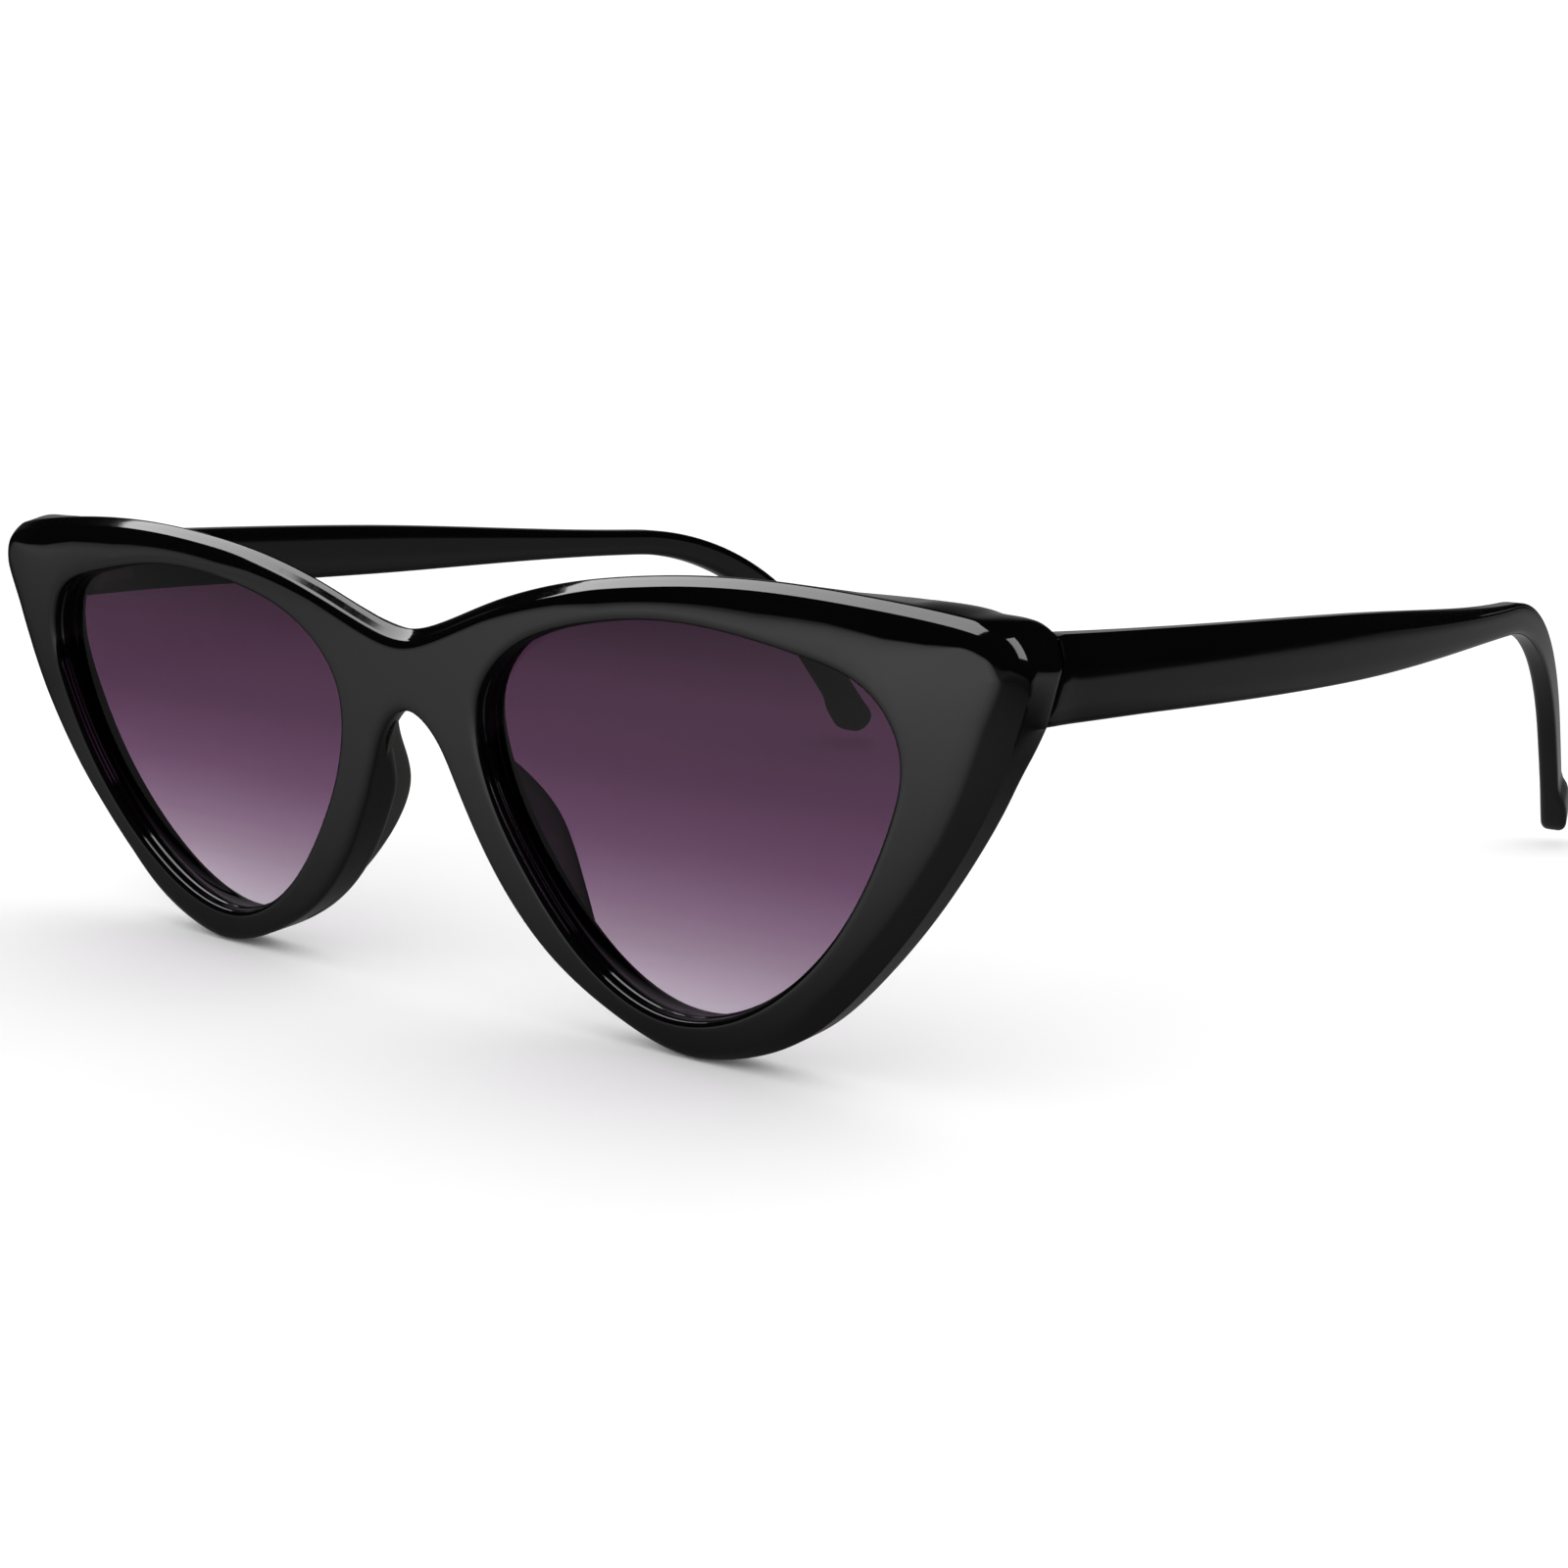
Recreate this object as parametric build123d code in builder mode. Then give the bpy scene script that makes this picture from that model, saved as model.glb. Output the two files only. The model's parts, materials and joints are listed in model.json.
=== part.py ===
from build123d import *
import math
import os

# Cat eye sunglasses, in millimetres.
# +Z is up, -Y is the way the wearer looks, +X is the wearer's left.
# The glasses stand open on a table at Z = 0, on the two rim bottoms and the two temple tips.

# ---- driving dimensions ------------------------------------------------------------------
FACE_Y = -68.53          # where the front's face stands, at the bottom of the lens openings
FACE_Z = 3.63            # height of the bottom of the lens openings above the table
FRONT_LEAN = 5.0         # degrees that the front's top leans forward
FACE_RADIUS = 1650.0     # the face is almost flat across both eyes
WRAP_RADIUS = 75.0       # and wraps back towards the temples
WRAP_FROM = 55.0         # distance from the middle where the wrap begins
WRAP_ANGLE = 17.0        # degrees that the wrap turns through, past the corners
RIM_DEPTH = 5.0          # front to back through the rims
RIM_EDGE = 0.6           # bevel round the face's outside and its openings

ENDPIECE_OVERLAP = 1.0   # how far the endpieces run into the back of the rims
ENDPIECE_FRONT = 1.5     # how far behind the face their outer sides start
ENDPIECE_RISE = 2.4      # their top edge starts this much above the temple's
ENDPIECE_DROP = 4.5      # and their bottom edge this much below it
ENDPIECE_NECK = 4.5      # their inner side is square to the seam from here back
ENDPIECE_TAPER = 2.5     # and slants inwards by this much in front of that

LENS_RECESS = 2.6        # face to lens
LENS_THICKNESS = 1.8
LENS_BITE = 0.8          # how far the lens edge reaches into its groove

SEAM_Y = 8.3 + FACE_Y    # where the front's endpieces meet the temples
SEAM_GAP = 0.06          # half of the gap there
SIDE_INNER = 67.2        # inner and outer faces of endpiece and temple at the seam
SIDE_OUTER = 71.6
ARM_Z = 38.1             # middle of the temple's height at the seam
ARM_HALF = 3.8           # half of its height there
ARM_MIDDLE_HALF = 3.2    # half of its height halfway to the bend
ARM_LENGTH = 91.5        # straight length, seam to bend
ARM_DROP = 3.2           # degrees that the arm falls towards the ear
ARM_BEND_HALF = 1.7      # half of its height where the bend begins
ARM_THICKNESS = 3.0      # thickness along the arm and in the hook
ARM_SWELL = 0.6          # extra thickness just behind the hinge
ARM_THINNING = 0.4       # and how much thinner it is at the bend
ARM_FLARE = 6.5          # degrees that the arm starts outwards
ARM_BOW_RADIUS = 294.0   # the arm curves back in towards the head
ARM_BOW_ANGLE = 27.0     # degrees that this curve turns through, past the tip
BEND_RADIUS = 37.5       # bend behind the ear, on the middle line
HOOK_ANGLE = 57.3        # degrees below level after the bend
HOOK_LENGTH = 15.2
HOOK_HALF = 2.5          # half of the hook's width
TIP_HALF = 3.0           # rounded end of the hook

PIN_X = SIDE_INNER - 1.35
PIN_RADIUS = 0.60
PIN_CLEARANCE = 0.04     # running fit of the temple's barrel on the screw
BARREL_RADIUS = 1.10
KNUCKLE_HALF = 0.85      # half of the height of the temple's barrel
KNUCKLE_GAP = 0.10       # between the barrels
HINGE_HALF = 2.70        # half of the height of the whole hinge
LEAF_THICKNESS = 0.80
LEAF_LENGTH = 4.6
LEAF_HALF = 2.2
LEAF_SETBACK = 1.45      # leaf's distance from the pin, to let the other half's barrels past
LEAF_CORNER = 0.6        # radius of its corners
WEB_LAP = 0.4            # how far the barrels' webs run on behind the leaf
WEB_START = 0.3          # and how near the pin they start
ANCHOR_DEPTH = 1.5       # lug that holds the leaf in the plastic
ANCHOR_LENGTH = 2.6
ANCHOR_HALF = 1.5
ANCHOR_CORNER = 0.4
SCREW_HEAD_RADIUS = 0.95
SCREW_HEAD_HEIGHT = 0.35
SCREW_HEAD_BEVEL = 0.12
SCREW_SLOT = 0.25

PAD_REACH = 9.2          # furthest that the nose pads reach behind the face
PAD_FLARE = 14.0         # degrees that they open towards the wearer
PAD_THICKNESS = 2.4
PAD_TILT = 0.6           # the pad's rim side lies this much higher than its nose side
PAD_FRONT = 3.5          # the pad's blank starts inside the rim and is trimmed to its back

# ---- outlines, in the plane of the face: X, then height above the opening's bottom --------
BROW = [(0, 33.7), (4.6, 34.6), (11.4, 37.0), (21.5, 39.7), (31.2, 41.1), (43.6, 41.9),
        (56.0, 41.7), (63.0, 41.4), (67.0, 40.8)]
TIP = (70.6, 38.8)
CHEEK = [(71.4, 35.6), (70.4, 31.9), (67.9, 25.6), (64.2, 19.0), (59.5, 12.5), (54.0, 6.3),
         (47.2, 0.4), (40.0, -2.8), (33.6, -3.7), (26.0, -1.3), (17.7, 3.7), (10.5, 12.0),
         (6.4, 19.9), (3.8, 24.4), (0, 26.0)]
OPENING = [(24.0, 36.2), (37.0, 37.5), (51.0, 35.8), (58.6, 33.0), (61.0, 28.6), (59.6, 21.6),
           (54.2, 12.0), (46.9, 4.9), (38.0, 0.6), (31.2, 0.0), (22.9, 3.3), (15.0, 11.5),
           (10.2, 20.8), (9.9, 27.6), (14.0, 32.6)]
NASAL_EDGE = CHEEK[9:14]
PAD_SIDE = [(1.0, 4.0), (3.0, 6.6), (8.0, 8.6), (14.0, PAD_REACH), (18.0, 8.5), (21.5, 6.6),
            (24.6, 3.2)]

# ---- planes ------------------------------------------------------------------------------
lean = math.radians(FRONT_LEAN)
face_plane = Plane(
    origin=(0, FACE_Y, FACE_Z), x_dir=(1, 0, 0), z_dir=(0, -math.cos(lean), -math.sin(lean))
)
# Looking down the front's own height: local X across, local Y backwards.
depth_plane = Plane(origin=face_plane.origin, x_dir=(1, 0, 0), z_dir=face_plane.y_dir)
# Looking from the wearer's left: local X is backwards, local Y is up.
side_plane = Plane(origin=(0, 0, 0), x_dir=(0, 1, 0), z_dir=(1, 0, 0))
reach = 60.0             # longer than any block that is trimmed
behind = reach / 4       # deeper than anything behind the rims, short of the temples

os.makedirs("parts", exist_ok=True)


def save(part, name):
    part.label = name
    export_step(part, f"parts/{name}.step")


def across(half):
    """A half outline and its reflection, from the far end through the middle to the near end."""
    return [(-x, height) for x, height in reversed(half)] + half[1:]


def opening_outline(grow=0.0):
    """The lens opening's closed outline, or a larger one round it."""
    true_edge = Spline(*OPENING, periodic=True, mode=Mode.PRIVATE)
    steps = 2 * len(OPENING)
    pushed = []
    for step in range(steps):
        along = true_edge % (step / steps)
        pushed.append((true_edge @ (step / steps)) + Vector(-along.Y, along.X) * grow)
    Spline(*pushed, periodic=True)


def slab_outline(front, back):
    """Half of the plan view between two depths behind the face, closed on the middle line."""
    first_turn = math.degrees(WRAP_FROM / FACE_RADIUS)
    near = JernArc((0, front), (1, 0), FACE_RADIUS - front, first_turn)
    near_wrap = JernArc(near @ 1, near % 1, WRAP_RADIUS - front, WRAP_ANGLE)
    far = JernArc((0, back), (1, 0), FACE_RADIUS - back, first_turn)
    far_wrap = JernArc(far @ 1, far % 1, WRAP_RADIUS - back, WRAP_ANGLE)
    Line(near @ 0, far @ 0)
    Line(near_wrap @ 1, far_wrap @ 1)


def slab(front, back):
    """Curved slab, as wide as the front, that follows the face between two depths."""
    with BuildPart() as block:
        with BuildSketch(depth_plane):
            with BuildLine():
                slab_outline(front, back)
            make_face()
            mirror(about=Plane.YZ)
        extrude(amount=reach, both=True)
    return block.part


rim_slab = slab(0, RIM_DEPTH)
lens_slab = slab(LENS_RECESS, LENS_RECESS + LENS_THICKNESS)
behind_rim = slab(RIM_DEPTH, RIM_DEPTH + behind)

# ---- lens --------------------------------------------------------------------------------
with BuildPart() as left_lens:
    with BuildSketch(face_plane):
        with BuildLine():
            opening_outline(LENS_BITE)
        make_face()
    extrude(amount=reach / 2, both=True)
    add(lens_slab, mode=Mode.INTERSECT)

# ---- endpiece: the front's corner, which runs back to the temple ---------------------------
seam_front = SEAM_Y - SEAM_GAP
with BuildPart() as left_endpiece:
    with BuildSketch(side_plane.offset(SIDE_INNER - 2 * ENDPIECE_TAPER)):
        with BuildLine():
            top = Spline(
                (FACE_Y, ARM_Z + ARM_HALF + ENDPIECE_RISE), (seam_front, ARM_Z + ARM_HALF),
                tangents=[(1, -0.05), (1, -0.25)],
            )
            bottom = Spline(
                (FACE_Y, ARM_Z - ARM_HALF - ENDPIECE_DROP), (seam_front, ARM_Z - ARM_HALF),
                tangents=[(1, 0.1), (1, 0.15)],
            )
            Line(top @ 0, bottom @ 0)
            Line(top @ 1, bottom @ 1)
        make_face()
    extrude(amount=behind)
    with BuildSketch(Plane.XY.offset(ARM_Z - reach / 2)):
        with BuildLine():
            outer = Spline(
                (TIP[0], FACE_Y + ENDPIECE_FRONT), (SIDE_OUTER, seam_front), tangents=[(0.2, 1), (0, 1)]
            )
            inner = Polyline(
                (SIDE_INNER, seam_front),
                (SIDE_INNER, FACE_Y + ENDPIECE_NECK),
                (SIDE_INNER - ENDPIECE_TAPER, FACE_Y + ENDPIECE_FRONT),
            )
            Line(outer @ 1, inner @ 0)
            Line(outer @ 0, inner @ 1)
        make_face()
    extrude(amount=reach, mode=Mode.INTERSECT)
    add(slab(RIM_DEPTH - ENDPIECE_OVERLAP, RIM_DEPTH + behind), mode=Mode.INTERSECT)

# ---- hinge: two leaves on one screw --------------------------------------------------------
def barrels(spans, bore):
    """Round knuckles on the pin, each from one height to another, with a hole for the screw."""
    for low, high in spans:
        with BuildSketch(Plane.XY.offset(ARM_Z + low)) as ring:
            with Locations((PIN_X, SEAM_Y)):
                Circle(BARREL_RADIUS)
                Circle(bore, mode=Mode.SUBTRACT)
        extrude(ring.sketch, amount=high - low)


def webs(spans, direction, bore):
    """The strips that join the knuckles to their leaf, which lies on the plastic's inner face."""
    leaf_face = SIDE_INNER - LEAF_THICKNESS
    for low, high in spans:
        with BuildSketch(Plane.XY.offset(ARM_Z + low)) as web:
            with BuildLine():
                Polyline(
                    (leaf_face, SEAM_Y + direction * (LEAF_SETBACK + WEB_LAP)),
                    (SIDE_INNER, SEAM_Y + direction * (LEAF_SETBACK + WEB_LAP)),
                    (SIDE_INNER, SEAM_Y + direction * BARREL_RADIUS),
                    (PIN_X + BARREL_RADIUS, SEAM_Y + direction * WEB_START),
                    (PIN_X, SEAM_Y + direction * WEB_START),
                    (PIN_X, SEAM_Y + direction * BARREL_RADIUS),
                    close=True,
                )
            make_face()
            with Locations((PIN_X, SEAM_Y)):
                Circle(bore, mode=Mode.SUBTRACT)
        extrude(web.sketch, amount=high - low)


def leaf(direction):
    """Flat leaf against the plastic, and the lug behind it that is moulded in."""
    start = SEAM_Y + direction * LEAF_SETBACK
    middle = start + direction * LEAF_LENGTH / 2
    with BuildSketch(side_plane.offset(SIDE_INNER - LEAF_THICKNESS)) as plate:
        with Locations((middle, ARM_Z)):
            RectangleRounded(LEAF_LENGTH, 2 * LEAF_HALF, LEAF_CORNER)
    extrude(plate.sketch, amount=LEAF_THICKNESS)
    with BuildSketch(side_plane.offset(SIDE_INNER)) as lug:
        with Locations((middle, ARM_Z)):
            RectangleRounded(ANCHOR_LENGTH, 2 * ANCHOR_HALF, ANCHOR_CORNER)
    extrude(lug.sketch, amount=ANCHOR_DEPTH)


outer_low = KNUCKLE_HALF + KNUCKLE_GAP
front_spans = [(outer_low, HINGE_HALF), (-HINGE_HALF, -outer_low)]
temple_spans = [(-KNUCKLE_HALF, KNUCKLE_HALF)]

with BuildPart() as left_front_hinge:
    leaf(-1)
    webs(front_spans, -1, PIN_RADIUS)
    barrels(front_spans, PIN_RADIUS)

with BuildPart() as left_temple_hinge:
    leaf(1)
    webs(temple_spans, 1, PIN_RADIUS + PIN_CLEARANCE)
    barrels(temple_spans, PIN_RADIUS + PIN_CLEARANCE)

with BuildPart() as left_hinge_screw:
    with BuildSketch(Plane.XY.offset(ARM_Z - HINGE_HALF)):
        with Locations((PIN_X, SEAM_Y)):
            Circle(PIN_RADIUS)
    extrude(amount=2 * HINGE_HALF)
    with BuildSketch(Plane.XY.offset(ARM_Z + HINGE_HALF)):
        with Locations((PIN_X, SEAM_Y)):
            Circle(SCREW_HEAD_RADIUS)
    extrude(amount=SCREW_HEAD_HEIGHT)
    head_rim = left_hinge_screw.edges().filter_by(GeomType.CIRCLE).group_by(Axis.Z)[-1]
    chamfer(head_rim, length=SCREW_HEAD_BEVEL)
    with BuildSketch(Plane.XY.offset(ARM_Z + HINGE_HALF + SCREW_HEAD_HEIGHT)):
        with Locations((PIN_X, SEAM_Y)):
            Rectangle(3 * SCREW_HEAD_RADIUS, SCREW_SLOT)
    extrude(amount=-SCREW_HEAD_HEIGHT / 2, mode=Mode.SUBTRACT)

# ---- front frame ---------------------------------------------------------------------------
with BuildSketch(face_plane) as opening:
    with BuildLine():
        opening_outline()
    make_face()

with BuildPart() as front_frame:
    with BuildSketch(face_plane):
        with BuildLine():
            brow = Spline(*across(BROW))
            cheeks = Spline(*across(CHEEK[::-1]))
            ThreePointArc(brow @ 1, TIP, cheeks @ 1)
            ThreePointArc(brow @ 0, (-TIP[0], TIP[1]), cheeks @ 0)
        make_face()
        add(opening.sketch_local, mode=Mode.SUBTRACT)
        mirror(opening.sketch_local, about=Plane.YZ, mode=Mode.SUBTRACT)
    extrude(amount=reach / 2, both=True)
    add(rim_slab, mode=Mode.INTERSECT)
    broad_faces = front_frame.faces().filter_by(GeomType.CYLINDER).sort_by(SortBy.AREA)[-2:]
    face = broad_faces.sort_by(Axis.Y)[0]
    chamfer(face.outer_wire().edges(), length=RIM_EDGE)
    for endpiece in (left_endpiece.part, left_endpiece.part.mirror(Plane.YZ)):
        add(endpiece)
    for sunk in (left_lens.part, left_front_hinge.part):
        add(sunk, mode=Mode.SUBTRACT)
        add(sunk.mirror(Plane.YZ), mode=Mode.SUBTRACT)

# ---- nose pad ------------------------------------------------------------------------------
flare = math.radians(PAD_FLARE)
backwards = face_plane.z_dir * -math.cos(flare)
pad_direction = (math.sin(flare), backwards.Y, backwards.Z)
with BuildPart() as left_nose_pad:
    with BuildSketch(face_plane.offset(-PAD_FRONT)):
        with BuildLine():
            nasal = Spline(*NASAL_EDGE)
            rim_side = Spline(*[(x + PAD_THICKNESS, height + PAD_TILT) for x, height in NASAL_EDGE])
            Line(nasal @ 0, rim_side @ 0)
            Line(nasal @ 1, rim_side @ 1)
        make_face()
    extrude(amount=PAD_REACH, dir=pad_direction)
    side_of_front = Plane(origin=face_plane.origin, x_dir=-face_plane.z_dir, z_dir=(1, 0, 0))
    with BuildSketch(side_of_front):
        with BuildLine():
            back_edge = Spline(*[(depth, height) for height, depth in PAD_SIDE])
            Line(back_edge @ 0, back_edge @ 1)
        make_face()
    extrude(amount=reach / 2, mode=Mode.INTERSECT)
    add(behind_rim, mode=Mode.INTERSECT)

# ---- temple --------------------------------------------------------------------------------
drop = math.radians(ARM_DROP)
hook = math.radians(HOOK_ANGLE)
arm_start = (SEAM_Y + SEAM_GAP, ARM_Z)
bend_start = (SEAM_Y + ARM_LENGTH * math.cos(drop), ARM_Z - ARM_LENGTH * math.sin(drop))
bend_centre = (bend_start[0] - BEND_RADIUS * math.sin(drop), bend_start[1] - BEND_RADIUS * math.cos(drop))


def beside(point, angle, distance):
    """The point at a distance above (or below) the arm's middle line, square to its direction."""
    return (point[0] + distance * math.sin(angle), point[1] + distance * math.cos(angle))


bend_end = beside(bend_centre, hook, BEND_RADIUS)
tip_centre = (
    bend_end[0] + HOOK_LENGTH * math.cos(hook), bend_end[1] - HOOK_LENGTH * math.sin(hook)
)
arm_middle = ((arm_start[0] + bend_start[0]) / 2, (arm_start[1] + bend_start[1]) / 2)
mid_bend = (drop + hook) / 2
mid_bend_half = (ARM_BEND_HALF + HOOK_HALF) / 2
along_arm = (math.cos(drop), -math.sin(drop))
along_hook = (math.cos(hook), -math.sin(hook))

with BuildPart() as left_temple:
    with BuildSketch(side_plane.offset(SIDE_INNER - reach / 2)):
        with BuildLine():
            edges = []
            for side in (1, -1):
                edges.append(Spline(
                    (arm_start[0], arm_start[1] + side * ARM_HALF),
                    beside(arm_middle, drop, side * ARM_MIDDLE_HALF),
                    beside(bend_start, drop, side * ARM_BEND_HALF),
                    beside(bend_centre, mid_bend, BEND_RADIUS + side * mid_bend_half),
                    beside(bend_end, hook, side * HOOK_HALF),
                    beside(tip_centre, hook, side * TIP_HALF),
                    tangents=[along_arm, along_hook],
                ))
            Line(edges[0] @ 0, edges[1] @ 0)
            TangentArc(edges[0] @ 1, edges[1] @ 1, tangent=along_hook)
        make_face()
    extrude(amount=reach)
    with BuildSketch(Plane.XY.offset(ARM_Z - reach)):
        with BuildLine():
            flare_angle = math.radians(90 - ARM_FLARE)
            heading = (math.cos(flare_angle), math.sin(flare_angle))
            outer_face = JernArc(
                (SIDE_OUTER, SEAM_Y + SEAM_GAP), heading, ARM_BOW_RADIUS, ARM_BOW_ANGLE
            )
            inner_face = Spline(
                (SIDE_INNER, SEAM_Y + SEAM_GAP),
                (outer_face @ 0.12) - Vector(ARM_THICKNESS + ARM_SWELL, 0),
                (outer_face @ 0.45) - Vector(ARM_THICKNESS, 0),
                (outer_face @ 0.75) - Vector(ARM_THICKNESS - ARM_THINNING, 0),
                (outer_face @ 1) - Vector(ARM_THICKNESS, 0),
            )
            Line(outer_face @ 0, inner_face @ 0)
            Line(outer_face @ 1, inner_face @ 1)
        make_face()
    extrude(amount=2 * reach, mode=Mode.INTERSECT)
    add(left_temple_hinge.part, mode=Mode.SUBTRACT)

# ---- write every piece, and its twin for the wearer's right --------------------------------
save(front_frame.part, "front_frame")
left_pieces = {
    "left_lens": left_lens,
    "left_nose_pad": left_nose_pad,
    "left_temple": left_temple,
    "left_front_hinge": left_front_hinge,
    "left_temple_hinge": left_temple_hinge,
    "left_hinge_screw": left_hinge_screw,
}
for name, piece in left_pieces.items():
    save(piece.part, name)
    with BuildPart() as twin:
        mirror(piece.part, about=Plane.YZ)
    save(twin.part, name.replace("left", "right"))
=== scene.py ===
import json
import math

import bpy
import numpy as np
from mathutils import Matrix, Vector
from mathutils.geometry import delaunay_2d_cdt


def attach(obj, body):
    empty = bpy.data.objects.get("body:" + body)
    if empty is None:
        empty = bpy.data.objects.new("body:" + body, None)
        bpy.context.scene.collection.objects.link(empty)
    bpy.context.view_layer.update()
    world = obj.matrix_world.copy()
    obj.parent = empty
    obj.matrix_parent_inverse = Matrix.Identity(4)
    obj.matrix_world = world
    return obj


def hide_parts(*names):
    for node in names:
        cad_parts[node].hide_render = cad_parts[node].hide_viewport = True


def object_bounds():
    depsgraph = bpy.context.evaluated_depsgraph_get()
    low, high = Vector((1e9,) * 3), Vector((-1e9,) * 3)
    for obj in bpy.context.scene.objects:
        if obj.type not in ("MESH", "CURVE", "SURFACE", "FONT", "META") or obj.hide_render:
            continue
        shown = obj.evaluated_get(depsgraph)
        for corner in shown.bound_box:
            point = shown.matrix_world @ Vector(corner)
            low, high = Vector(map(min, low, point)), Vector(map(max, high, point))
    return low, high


# Cat eye sunglasses: the looks. Shapes are worked out in millimetres in the CAD frame and
# written to the meshes in metres. +Z is up, -Y is the way the wearer looks, +X the wearer's left.
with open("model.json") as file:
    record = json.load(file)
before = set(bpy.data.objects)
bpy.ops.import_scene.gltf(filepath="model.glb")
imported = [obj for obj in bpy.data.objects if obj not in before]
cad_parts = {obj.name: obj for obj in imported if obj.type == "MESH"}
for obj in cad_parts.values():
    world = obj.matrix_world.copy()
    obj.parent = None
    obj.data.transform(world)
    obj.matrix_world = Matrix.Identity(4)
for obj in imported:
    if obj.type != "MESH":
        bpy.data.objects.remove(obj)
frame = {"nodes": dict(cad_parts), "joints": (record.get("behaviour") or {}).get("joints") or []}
cad_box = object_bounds()
joints = {joint["name"]: joint for joint in frame["joints"]}
MM = 0.001

# ---- the front's curved face, in millimetres ----
pin = Vector(joints["left_temple_fold"]["pos_m"]) / MM
SEAM_DEPTH = 8.3         # face to seam, at the bottom of the lens openings
SEAM_GAP = 0.06          # half of the gap between endpiece and temple
MITRE = 0.47             # the seam's slope: its bottom lies further forward than its top
FACE_Y = pin.y - SEAM_DEPTH
FACE_Z = 3.63            # height of the bottom of the lens openings
LEAN = math.radians(5)   # the front's top leans forward
FACE_RADIUS = 1650.0     # the face is nearly flat across the lenses
WRAP_RADIUS = 75.0       # and turns back more tightly beyond this distance from the middle
WRAP_FROM = 55.0
RIM_DEPTH = 5.0
FLARE_DEPTH = 0.8        # extra depth of the rim where it runs into the endpiece

# ---- outlines in the plane of the face: (distance from the middle, height above FACE_Z) ----
BROW = [(0, 33.7), (4.6, 34.6), (11.4, 37.0), (21.5, 39.7), (31.2, 41.1), (43.6, 41.8),
        (54.0, 41.45), (61.0, 40.8), (66.5, 39.95)]
TIP = (70.7, 38.2)
CHEEK = [(71.9, 35.4), (71.2, 31.9), (68.8, 25.6), (65.1, 19.0), (60.2, 12.2), (54.5, 5.9),
         (47.5, 0.1), (40.2, -2.95)]
NOSE = [(33.6, -3.7), (25.8, -1.55), (17.2, 3.25), (9.85, 11.6), (5.75, 19.6), (3.2, 23.9)]
ARCH_TOP = (0, 25.6)
OPENING = [(24.0, 36.2), (37.0, 37.5), (50.8, 35.7), (58.1, 32.8), (60.4, 28.4), (59.0, 21.7),
           (53.7, 12.3), (46.6, 5.1), (38.0, 0.6), (31.2, 0.0), (23.1, 3.4), (15.4, 11.7),
           (10.7, 20.9), (10.4, 27.6), (14.3, 32.4)]
OUTLINE_STEP = 0.45      # spacing of the points along the outlines
CURVE_SAMPLES = 60       # points worked out between two points of an outline

# ---- the front's edges ----
# (inset, depth) of each row on the brow, on the outer side, round the nose and at the outer tip
FACE_ROWS = {
    "brow": [(2.9, 0.0), (2.5, 0.012), (2.05, 0.05), (1.85, 0.10), (1.6, 0.19), (1.2, 0.37), (0.95, 0.52),
             (0.80, 0.64), (0.76, 0.69), (0.40, 1.13), (0.10, 1.50), (0.04, 1.60), (0.0, 1.75)],
    "side": [(3.6, 0.0), (2.9, 0.02), (2.3, 0.07), (2.0, 0.14), (1.9, 0.19), (1.75, 0.29), (1.3, 0.59),
             (0.8, 0.92), (0.35, 1.22), (0.22, 1.305), (0.12, 1.37), (0.05, 1.415), (0.0, 1.45)],
    "nose": [(1.9, 0.0), (1.3, 0.01), (0.95, 0.03), (0.75, 0.06), (0.6, 0.09), (0.46, 0.14), (0.34, 0.20),
             (0.24, 0.26), (0.17, 0.33), (0.11, 0.41), (0.05, 0.52), (0.01, 0.65), (0.0, 0.8)],
    "tip": [(2.9, 0.0), (2.5, 0.012), (2.05, 0.05), (1.85, 0.10), (1.6, 0.19), (1.35, 0.32), (1.15, 0.45),
            (1.0, 0.56), (0.9, 0.65), (0.62, 0.95), (0.36, 1.30), (0.14, 1.75), (0.0, 2.4)],
}
# (distance out from the opening, depth) of each row, from the face through the lens groove to the back
OPENING_ROWS = [(0.95, 0.0), (0.70, 0.02), (0.48, 0.07), (0.25, 0.17), (0.09, 0.32), (0.02, 0.55),
                (0.0, 0.8), (0.0, 1.15), (-0.03, 1.24), (-0.10, 1.32), (-0.13, 1.42), (-0.14, 1.9),
                (0.10, 2.4), (0.60, 3.1), (0.61, 4.2), (0.64, 4.55), (0.70, 4.8), (0.80, 4.94),
                (0.95, 5.0)]
# (distance from the middle, drop of the brow's back edge, width of the bevel below its bright strip)
BROW_SHAPE = [(0, 0.9, 0.55), (6, 1.9, 0.5), (12, 2.1, 0.45), (22, 1.8, 0.6), (34, 1.2, 1.2),
              (46, 0.9, 1.5), (54, 0.75, 1.4), (60, 0.3, 1.8), (64, 0.1, 1.5), (67, -0.3, 0.9),
              (69, -0.3, 0.7), (72, 0.0, 0.6)]
# (height, width of the outer side's bevel)
SIDE_SHAPE = [(20, 1.0), (26, 1.15), (30, 1.15), (35, 0.85)]
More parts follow.
